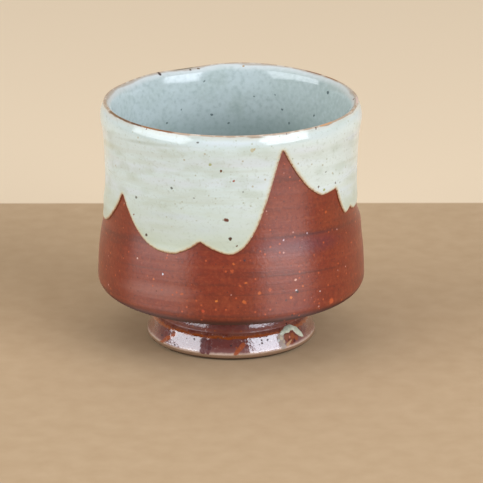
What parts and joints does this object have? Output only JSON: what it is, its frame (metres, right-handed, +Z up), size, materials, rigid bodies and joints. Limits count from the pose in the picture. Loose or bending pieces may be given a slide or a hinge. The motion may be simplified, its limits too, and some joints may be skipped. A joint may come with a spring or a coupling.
{
  "type": "tea bowl",
  "caption": "Wheel-thrown stoneware tea bowl on a raised foot ring, with a pale glaze poured over an iron-red one in a scalloped edge.",
  "frame": {"origin": "centre of the foot's standing ring, on the surface that the bowl stands on", "axes": "+Z up along the bowl's axis, -Y towards the front of the picture, +X to its right"},
  "size_m": [0.0956, 0.0956, 0.0865],
  "materials": {
    "bare_stoneware": "matte, fired clay",
    "iron_red_glaze": "satin",
    "pale_ash_glaze": "glossy",
    "pale_liner_glaze": "glossy",
    "maroon_glaze": "glossy"
  },
  "bodies": {
    "root": {"bowl_body": "bare_stoneware", "foot_ring": "bare_stoneware", "iron_red_glaze": "iron_red_glaze", "pale_glaze_outside": "pale_ash_glaze", "pale_glaze_liner": "pale_liner_glaze", "foot_glaze": "maroon_glaze", "foot_glaze_splash": "pale_ash_glaze"}
  },
  "joints": []
}
